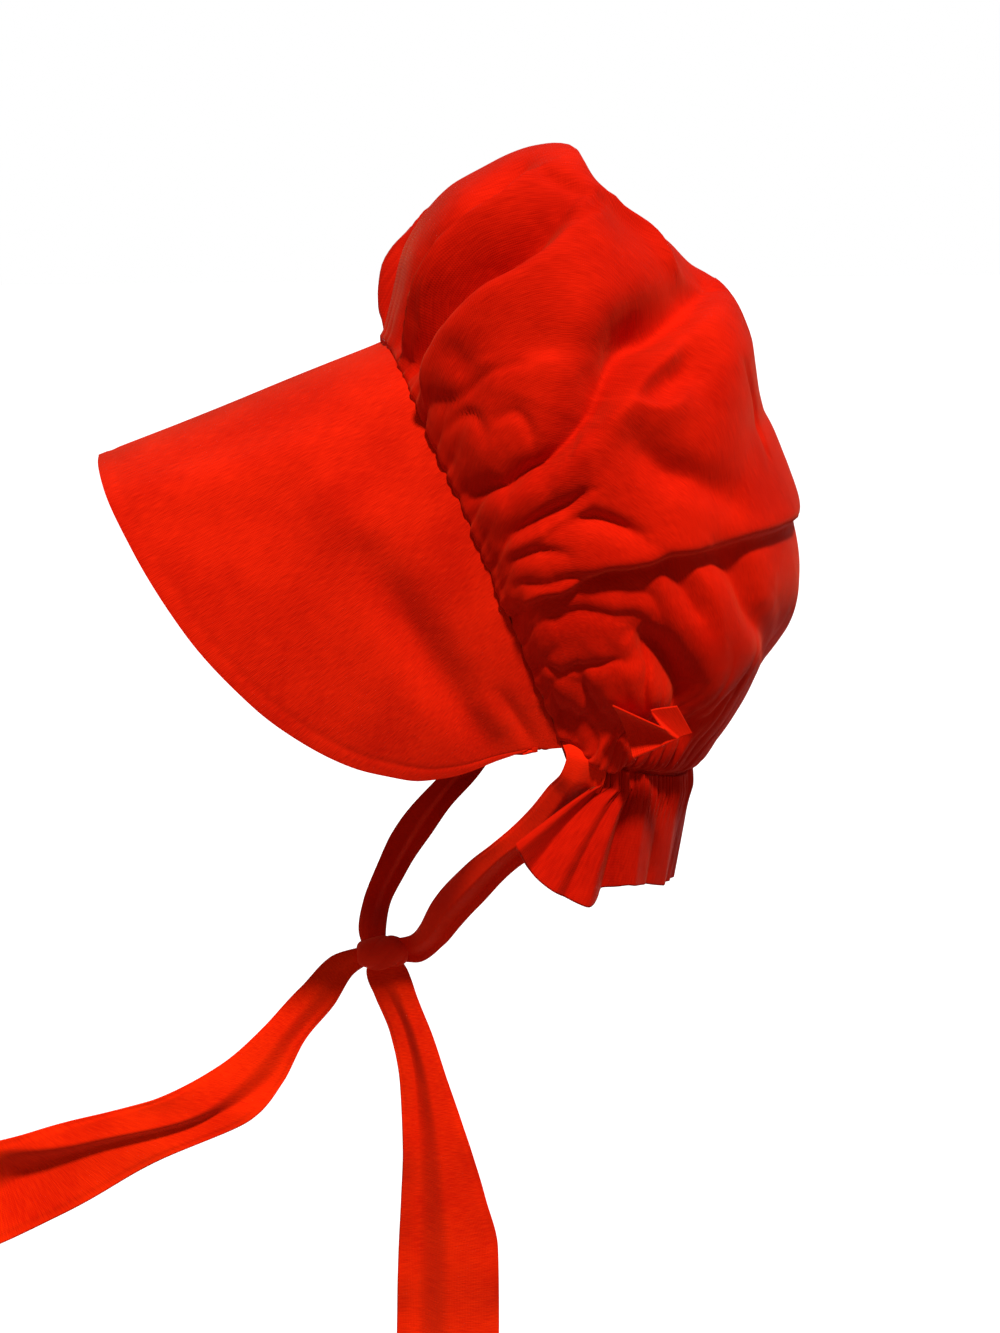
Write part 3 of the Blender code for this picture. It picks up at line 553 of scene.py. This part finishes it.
def neck_line(share, down):
    """Line of the crown at one share of its fall, divided evenly by length."""
    across = np.linspace(-1, 1, NECK_STEPS)
    line = crown_base(across, np.full(NECK_STEPS, down))
    length = running_length(crown_base(across, np.ones(NECK_STEPS)))
    at = (share + 1) / 2 * length[-1]
    return np.stack([np.interp(at, length, line[:, k]) for k in range(3)], -1)


def band_line(share, beyond):
    """The crown's lower edge, run on by a length in the way the crown's cloth is
    heading there; a negative length goes back up inside the crown."""
    line = neck_line(share, 1.0)
    way = line - neck_line(share, 0.985)
    return line + way / np.linalg.norm(way, axis=-1, keepdims=True) * beyond


def level_outward(line):
    """Level unit vectors square to a line, away from the middle of the neck edge."""
    run = np.gradient(line, axis=0)
    out = np.stack([-run[:, 1], run[:, 0], np.zeros(len(line))], -1)
    out /= np.linalg.norm(out, axis=1, keepdims=True)
    return out * np.sign(np.sum(out * (line - NECK_MIDDLE), axis=1))[:, None]


band_share = np.linspace(1, -1, 481)
band_top = band_line(band_share, BAND_BELOW)
band_out = level_outward(band_top)
band_fall = np.linspace(0, 1, 13)
band_pucker = 0.5 * np.sin(np.pi * band_share * 57 + wander(band_share * 4, 2.0))
band_tuck = band_line(band_share, -BAND_INSIDE) - band_out * BAND_SET_IN
band_grid = (
    band_top[:, None]
    + np.array([0.0, 0.0, -BAND_HEIGHT])[None, None] * band_fall[None, :, None]
    + band_out[:, None] * (band_pucker[:, None] * np.sin(np.pi * band_fall))[..., None]
)
band_turn = band_tuck * 0.4 + band_top * 0.6
band_grid = np.concatenate([band_tuck[:, None], band_turn[:, None], band_grid], axis=1)
band = cloth_piece("neck_band_cloth", band_grid, BAND_CLOTH, (0.28, 0.009))
band.data.materials.append(red_broadcloth("band broadcloth", "#CC1203", "#B80B02", 0.3))
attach(band, "root")
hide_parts("neck_band")

# The curtain. A straight strip gathered to the band so that it flares below the
# crown; its left end, on +X, swings forward and opens in a few deep folds.

CURTAIN_CLOTH = 1.0
CURTAIN_SHARE = 0.89
CURTAIN_HANG = (
    # share of the half, length, lean forward on the left, on the right, flare outward
    (0.00, 45.0, 0.0, 0.0, -8.5),
    (0.30, 44.0, 2.0, 0.0, -8.5),
    (0.55, 42.0, 4.0, -2.0, -7.0),
    (0.72, 40.5, 6.0, -4.0, -2.0),
    (0.80, 40.5, 9.0, -6.0, 0.0),
    (0.845, 45.0, 16.0, -9.0, 4.0),
    (0.875, 52.5, 25.0, -11.0, 8.0),
    (0.93, 51.0, 38.0, -15.0, 8.0),
    (1.00, 42.5, 55.0, -20.0, 6.0),
)
CURTAIN_FOLDS = (
    # share at the band, share at the hem, depth, breadth as a share
    (0.990, 0.992, 2.5, 0.012),
    (0.968, 0.950, -5.5, 0.018),
    (0.935, 0.918, 3.5, 0.018),
    (0.912, 0.898, -2.5, 0.010),
    (0.892, 0.874, 5.5, 0.018),
    (0.862, 0.844, -7.5, 0.016),
    (0.80, 0.79, 2.5, 0.030),
    (0.70, 0.68, -2.8, 0.035),
    (0.60, 0.57, 2.0, 0.040),
    (0.44, 0.42, -1.8, 0.050),
    (0.24, 0.22, 1.8, 0.060),
)
CURTAIN_PLEATS = 17
CURTAIN_PLEAT_HEIGHT = 4.2
CURTAIN_SET_OUT = 1.5
CURTAIN_ROWS = 641
CURTAIN_COLUMNS = 61


def curtain_cloth(share, fall):
    """Curtain: each line runs down over the band, then hangs by its length,
    leaning and flaring by table angles. Folds grow towards the hem: bells in
    share from the table on the left, a wavering sine over the rest."""
    top = band_line(share * CURTAIN_SHARE, BAND_BELOW)
    out = level_outward(top)
    top = top + out * CURTAIN_SET_OUT + np.array([0.0, 0.0, -1.0])
    rows = np.array(CURTAIN_HANG)
    part = np.abs(share)
    length = through(rows[:, 0], rows[:, 1], part)
    left = through(rows[:, 0], rows[:, 2], part)
    right = through(rows[:, 0], rows[:, 3], part)
    lean = np.radians(np.where(share > 0, left, right))
    flare = np.radians(through(rows[:, 0], rows[:, 4], part))
    hang = np.stack([np.zeros_like(lean), -np.sin(lean), -np.cos(lean)], -1)
    far = (length + BAND_HEIGHT)[:, None] * fall[None, :]
    below = np.maximum(far - BAND_HEIGHT, 0.0)
    grown = (below / length[:, None]) ** 0.8
    phase = share * CURTAIN_PLEATS / 2 + 0.12 * wander(share * 2.0, 3.0)
    plain = np.clip((0.06 - share) / 0.12, 0, 1) + 0.12 * np.clip((0.56 - share) / 0.2, 0, 1)
    plain = np.minimum(plain, 1.0)
    fade = np.clip((1 - part) / 0.10, 0, 1)
    swing = plain * CURTAIN_PLEAT_HEIGHT * np.sin(2 * np.pi * phase) * (0.25 + 0.75 * fade)
    side = np.sin(flare)[:, None] * below + swing[:, None] * grown
    for high, low, depth, breadth in CURTAIN_FOLDS:
        middle = high + (low - high) * fall[None, :]
        bell = np.exp(-np.abs((share[:, None] - middle) / breadth) ** 1.6)
        side += depth * bell * (0.35 + 0.65 * grown)
    gather = np.sin(share * 290 + 2 * wander(share * 7, 1.0))
    gather = gather + 0.5 * np.sin(share * 520 + share ** 2 * 90)
    side += 0.75 * gather[:, None] * np.exp(-((far - 7.0) / 9.0) ** 2)
    drop = np.cos(flare)[:, None] * below + (far - below)
    drape = (below / (below + 6.0))[..., None]
    way = hang[:, None] * drape + np.array([0.0, 0.0, -1.0]) * (1 - drape)
    return top[:, None] + way * drop[..., None] + out[:, None] * side[..., None]


curtain_grid = curtain_cloth(
    np.linspace(1, -1, CURTAIN_ROWS), np.linspace(0, 1, CURTAIN_COLUMNS)
)
# Same cloth as crown and brim, with its red set deeper: painted shade that darkens the curtain
# hanging below the crown.
curtain_red_painted_shade = red_broadcloth("curtain broadcloth with painted shade", "#C61203", "#AE0A02", 0.3, 0.08, 0.3)
curtain = cloth_piece("curtain_cloth", curtain_grid, CURTAIN_CLOTH, (0.36, 0.05))
curtain.data.materials.append(curtain_red_painted_shade)
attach(curtain, "root")
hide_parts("curtain")

# The ties. Two long strips of the same cotton, turned in narrow along their
# edges, starting under the seam corners and knotted once below the brim; past
# the knot each one runs on as a loose end.

TIE_CLOTH = 0.9
TIE_ROWS = 241
TIE_COLUMNS = 61
TIE_PATTERN_WIDTH = 0.045
TIE_EDGES = {
    # x, y, z of one long edge, then of the other, row by row from the bonnet
    "tie_left": (
        (73.0, 65.0, -157.0, 73.0, 86.0, -160.0),
        (79.5, 67.4, -166.2, 80.5, 85.0, -171.4),
        (78.4, 65.5, -173.2, 79.5, 83.0, -180.5),
        (72.5, 61.0, -181.2, 73.0, 77.5, -191.0),
        (61.0, 51.0, -198.0, 63.5, 65.0, -211.0),
        (52.0, 40.9, -210.1, 55.0, 52.8, -220.0),
        (43.0, 31.1, -221.5, 45.0, 44.1, -232.5),
        (34.0, 23.2, -233.3, 37.0, 36.2, -245.0),
        (25.0, 16.3, -246.1, 28.0, 27.9, -257.9),
        (17.0, 11.6, -259.6, 20.0, 20.4, -270.1),
        (8.0, 8.1, -267.5, 8.0, 9.4, -281.0),
        (5.0, -4.0, -271.0, 5.0, -4.0, -280.0),
    ),
    "tie_right": (
        (-73.0, 65.0, -157.0, -73.0, 84.0, -160.0),
        (-79.0, 66.8, -166.2, -80.0, 81.0, -171.4),
        (-77.9, 65.0, -173.2, -78.5, 76.0, -178.5),
        (-71.5, 54.5, -186.0, -72.5, 66.0, -193.0),
        (-61.0, 39.0, -202.0, -63.0, 52.0, -209.0),
        (-50.0, 24.0, -213.0, -52.0, 36.0, -222.0),
        (-40.0, 9.0, -226.0, -42.0, 23.0, -236.0),
        (-29.0, -2.0, -241.0, -31.0, 11.0, -249.0),
        (-18.0, -10.5, -257.0, -20.0, 2.0, -261.0),
        (-3.0, -14.5, -267.6, -3.5, -2.0, -267.8),
        (3.0, -13.0, -273.0, 3.0, -3.0, -273.0),
    ),
    "tail_left": (
        (4.0, -8.5, -272.8, 4.0, -6.0, -279.5),
        (4.0, -25.6, -276.0, 6.0, -17.6, -285.3),
        (7.0, -42.5, -290.4, 9.0, -27.3, -299.1),
        (9.0, -60.3, -308.5, 11.0, -40.9, -314.6),
        (10.0, -79.8, -324.6, 13.0, -51.4, -333.7),
        (12.0, -111.8, -338.9, 15.0, -66.3, -349.7),
        (12.0, -147.9, -346.9, 15.0, -108.7, -367.8),
        (10.0, -179.6, -355.1, 14.0, -154.1, -392.6),
        (8.0, -193.2, -359.0, 14.0, -186.1, -406.7),
        (6.0, -207.8, -363.9, 12.0, -205.3, -412.5),
    ),
    "tail_right": (
        (6.0, -10.0, -277.0, 6.0, 2.0, -277.0),
        (7.0, -12.2, -284.6, 8.0, 6.8, -284.6),
        (11.0, -9.1, -294.1, 13.0, 10.0, -293.9),
        (12.0, -2.1, -313.5, 14.0, 17.0, -313.8),
        (12.0, 2.2, -338.3, 14.0, 24.7, -338.7),
        (12.0, 3.3, -370.5, 14.0, 34.4, -369.1),
        (10.0, 2.4, -396.4, 14.0, 41.4, -394.6),
        (8.0, 0.9, -427.7, 14.0, 47.5, -422.4),
        (6.0, 0.2, -460.3, 12.0, 48.2, -460.7),
        (6.0, -0.5, -489.8, 12.0, 47.8, -490.2),
    ),
}
TIE_FOLDS = {
    # share of the length, middle of the fold across, its breadth, step down over it
    "tie_left": (
        (0.0, 0.50, 0.50, 2.0),
        (0.25, 0.56, 0.40, 7.0),
        (0.55, 0.62, 0.40, 8.0),
        (0.85, 0.60, 0.40, 6.0),
        (1.0, 0.50, 0.50, 1.0),
    ),
    "tie_right": (
        (0.0, 0.50, 0.50, 1.0),
        (0.30, 0.45, 0.30, 4.5),
        (0.70, 0.55, 0.30, 4.5),
        (1.0, 0.50, 0.50, 1.0),
    ),
    "tail_left": (
        (0.0, 0.50, 0.45, 2.0),
        (0.30, 0.62, 0.40, 4.0),
        (0.50, 0.60, 0.18, 5.0),
        (0.68, 0.42, 0.22, 6.5),
        (0.84, 0.28, 0.46, 14.0),
        (1.0, 0.28, 0.70, 21.0),
    ),
    "tail_right": (
        (0.0, 0.45, 0.45, -2.0),
        (0.15, 0.50, 0.30, -4.5),
        (0.50, 0.38, 0.34, -9.0),
        (0.80, 0.36, 0.34, -11.0),
        (1.0, 0.38, 0.34, -11.0),
    ),
}


def tie_cloth(edges, folds, share, across):
    """Strip between its two edge lines, each a smooth curve through its rows.
    A lengthwise fold steps down over a smooth ramp across the strip, which rises
    again on both sides of it. Slow ripples run along both edges, and each edge
    stands up a little at its hem."""
    rows = np.array(edges)
    length = running_length((rows[:, :3] + rows[:, 3:]) / 2)
    at = share * length[-1]
    one = np.stack([through(length, rows[:, k], at) for k in range(3)], -1)
    two = np.stack([through(length, rows[:, k + 3], at) for k in range(3)], -1)
    run = np.gradient((one + two) / 2, axis=0)
    face = np.cross(two - one, run)
    face /= np.linalg.norm(face, axis=1, keepdims=True)
    table = np.array(folds)
    middle, breadth, step = (through(table[:, 0], table[:, k], share)[:, None] for k in (1, 2, 3))
    ramp = np.clip((across[None, :] - middle) / breadth + 0.5, 0, 1)
    dip = step * (ramp * ramp * (3 - 2 * ramp) - 0.5 - 0.8 * (across[None, :] - 0.5))
    edge = np.abs(across[None, :] - 0.5) * 2
    dip += 0.9 * edge ** 2 * wander(share * 1.6 + 1.0, 2.0)[:, None]
    dip += 0.35 * np.exp(-((1 - edge) / 0.17) ** 6)
    flat = one[:, None] * (1 - across[None, :, None]) + two[:, None] * across[None, :, None]
    return flat + face[:, None] * dip[..., None], length[-1]


# The ties and their loose ends are the same cotton as the bonnet, but their reds are set brighter:
# painted light, making the lit hanging strips lighter than the rest of the cloth.
tie_red_painted_light = red_broadcloth("tie broadcloth with painted light", "#F02005", "#DC1502", 0.10)
tail_red_painted_light = red_broadcloth("tie end broadcloth with painted light", "#F42703", "#DA1702", 0.08)
tie_share = np.linspace(0, 1, TIE_ROWS)
tie_across = np.linspace(0, 1, TIE_COLUMNS)
for name, edges in TIE_EDGES.items():
    tie_grid, tie_length = tie_cloth(edges, TIE_FOLDS[name], tie_share, tie_across)
    tie_laid = (tie_length * MM, TIE_PATTERN_WIDTH)
    tie = cloth_piece(name + "_cloth", tie_grid, TIE_CLOTH, tie_laid)
    tie.data.materials.append(tail_red_painted_light if name.startswith("tail") else tie_red_painted_light)
    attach(tie, "root")
    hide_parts(name)

# The knot. Where the ties cross and are pulled tight, drawn as one small lump
# with slanting grooves and a single strand standing over its middle.

KNOT_MIDDLE = np.array([4.0, -4.6, -276.4])
KNOT_HALF = np.array([9.5, 11.6, 7.6])
KNOT_AROUND = 96
KNOT_RINGS = 73
KNOT_END = 0.02


def knot_surface(turn, tall):
    """Blunt ellipsoid along Y: a ring for each step from end to end, grooved by
    slanting waves, with one strand that stands over the rest across its middle."""
    tall, turn = np.broadcast_arrays(tall[:, None], turn[None, :])
    groove = puffs(4 * (turn / (2 * np.pi) + 0.30 * np.cos(tall)))
    strand = np.exp(-((np.cos(tall) + 0.55 * np.sin(turn + 0.6)) / 0.42) ** 2)
    size = 1 + 0.10 * groove * np.sin(tall) + 0.12 * strand
    girth = size * np.sin(tall) ** 0.4
    unit = np.stack([girth * np.cos(turn), -np.cos(tall), girth * np.sin(turn)], -1)
    return unit * KNOT_HALF * np.array([0.9, 1.0, 0.9]) + KNOT_MIDDLE


knot_grid = knot_surface(
    np.linspace(0, 2 * np.pi, KNOT_AROUND + 1),
    np.linspace(KNOT_END, np.pi - KNOT_END, KNOT_RINGS),
)
knot_mesh = bpy.data.meshes.new("knot_cloth")
knot_points = knot_grid[:, :-1].reshape(-1, 3)
knot_rows = np.arange(KNOT_RINGS - 1)[:, None] * KNOT_AROUND
knot_here = np.arange(KNOT_AROUND)
knot_next = (knot_here + 1) % KNOT_AROUND
knot_quads = np.stack([
    knot_rows + knot_here, knot_rows + knot_here + KNOT_AROUND,
    knot_rows + KNOT_AROUND + knot_next, knot_rows + knot_next,
], -1).reshape(-1, 4)
knot_last = (KNOT_RINGS - 1) * KNOT_AROUND
knot_caps = [
    list(range(KNOT_AROUND)),
    list(range(knot_last + KNOT_AROUND - 1, knot_last - 1, -1)),
]
knot_mesh.from_pydata((knot_points * MM).tolist(), [], knot_quads.tolist() + knot_caps)
knot_mesh.shade_smooth()
knot = bpy.data.objects.new("knot_cloth", knot_mesh)
bpy.context.scene.collection.objects.link(knot)
# The knot's deep red is darker than the ties': painted shade for the shadow the knot sits in under
# the bonnet.
knot.data.materials.append(red_broadcloth("knot broadcloth with painted shade", "#F4260F", "#C41608", 0.5))
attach(knot, "root")
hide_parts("knot")

# The tape. A short strip lying on the gathers above the band on the left, on
# +X; it is pinched in its middle and stands open at one end.

TAPE_CLOTH = 0.9
TAPE_EDGES = (
    # x, y, z of the lower edge, then of the upper edge, and the hollow between
    (96.0, 117.7, -153.4, 98.0, 110.7, -141.1, 0.2),
    (96.0, 112.6, -155.0, 97.0, 99.9, -143.1, 0.4),
    (96.5, 111.2, -155.7, 99.5, 105.1, -150.5, 0.8),
    (95.5, 102.8, -159.8, 99.0, 95.1, -145.7, 4.5),
    (93.0, 93.2, -164.4, 97.0, 83.7, -140.3, 7.0),
)


def tape_cloth(share, across):
    """Strip between two edge lines, dished between them by a sine."""
    rows = np.array(TAPE_EDGES)
    knots = np.linspace(0, 1, len(rows))
    one = np.stack([through(knots, rows[:, k], share) for k in range(3)], -1)
    two = np.stack([through(knots, rows[:, k + 3], share) for k in range(3)], -1)
    face = np.cross(two - one, np.gradient((one + two) / 2, axis=0))
    face /= np.linalg.norm(face, axis=1, keepdims=True)
    face *= np.sign(face[:, :1])
    dip = through(knots, rows[:, 6], share)[:, None] * np.sin(np.pi * across)[None, :] ** 0.8
    flat = one[:, None] * (1 - across[None, :, None]) + two[:, None] * across[None, :, None]
    return flat - face[:, None] * dip[..., None]


tape_grid = tape_cloth(np.linspace(0, 1, 81), np.linspace(0, 1, 41))
tape = cloth_piece("neck_tape_cloth", tape_grid, TAPE_CLOTH, (0.035, 0.02))
tape.data.materials.append(red_broadcloth("tape broadcloth", "#DA1804", "#C81002", 0.2))
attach(tape, "root")
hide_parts("neck_tape")

# The studio. A pale floor well below the hanging ends, one broad sun from above
# on the left, even white light all round, and a camera on the left, 13 degrees up.

FLOOR_HALF = 20
FLOOR_LEVEL = -1.4
SUN_FROM = (0.47, 0.08, 0.88)
SUN_POWER = 4.3
SKY_LIGHT = 0.26
VIEW_DISTANCE = 1.1
VIEW_TARGET = np.array([0.0, 0.0504, -0.1448])
FRAME_HEIGHT_PX = 1333
METRES_PER_PX = 0.00045

floor_mesh = bpy.data.meshes.new("floor")
floor_corners = [
    (x * FLOOR_HALF, y * FLOOR_HALF, FLOOR_LEVEL) for x, y in ((-1, -1), (1, -1), (1, 1), (-1, 1))
]
floor_mesh.from_pydata(floor_corners, [], [(0, 1, 2, 3)])
floor = bpy.data.objects.new("floor", floor_mesh)
bpy.context.scene.collection.objects.link(floor)
paper = bpy.data.materials.new("matte paper floor")
paper.use_nodes = True
paper.node_tree.nodes["Principled BSDF"].inputs["Base Color"].default_value = linear("#F4F4F4")
paper.node_tree.nodes["Principled BSDF"].inputs["Roughness"].default_value = 0.9
floor.data.materials.append(paper)
floor.visible_diffuse = False

world = bpy.data.worlds.new("studio")
world.use_nodes = True
sky = world.node_tree
plain = sky.nodes["Background"]
plain.inputs["Color"].default_value = (1.0, 1.0, 1.0, 1.0)
plain.inputs["Strength"].default_value = SKY_LIGHT
backdrop = add_node(sky, "ShaderNodeBackground", {},
                    {"Color": (1.0, 1.0, 1.0, 1.0), "Strength": 1.0})
seen = add_node(sky, "ShaderNodeLightPath")
both = add_node(sky, "ShaderNodeMixShader", {}, {},
                {0: seen.outputs["Is Camera Ray"], 1: plain.outputs[0], 2: backdrop.outputs[0]})
sky.links.new(both.outputs[0], sky.nodes["World Output"].inputs["Surface"])
bpy.context.scene.world = world
bpy.context.scene.view_settings.view_transform = "Standard"


def aim(place, target):
    """Matrix that stands at a place with -Z towards a target and Y upward."""
    back = np.array(place, float) - np.array(target, float)
    back /= np.linalg.norm(back)
    right = np.cross([0.0, 0.0, 1.0], back)
    right /= np.linalg.norm(right)
    above = np.cross(back, right)
    rows = [[right[k], above[k], back[k], place[k]] for k in range(3)]
    return rows + [[0.0, 0.0, 0.0, 1.0]]


sun = bpy.data.lights.new("key", "SUN")
sun.energy = SUN_POWER
sun.angle = np.radians(6.0)
stand = bpy.data.objects.new("key", sun)
stand.matrix_world = np.array(aim(SUN_FROM, (0.0, 0.0, 0.0))).T.tolist()
bpy.context.scene.collection.objects.link(stand)

azimuth = np.radians(82.0)
elevation = np.radians(13.0)
level = np.cos(elevation)
toward = np.array([np.sin(azimuth) * level, -np.cos(azimuth) * level, np.sin(elevation)])
lens = bpy.data.cameras.new("camera")
lens.sensor_fit = "VERTICAL"
lens.angle = 2 * np.arctan(FRAME_HEIGHT_PX / 2 * METRES_PER_PX / VIEW_DISTANCE)
camera = bpy.data.objects.new("camera", lens)
camera_place = VIEW_TARGET + toward * VIEW_DISTANCE
camera.matrix_world = np.array(aim(camera_place, VIEW_TARGET)).T.tolist()
bpy.context.scene.collection.objects.link(camera)
bpy.context.scene.camera = camera
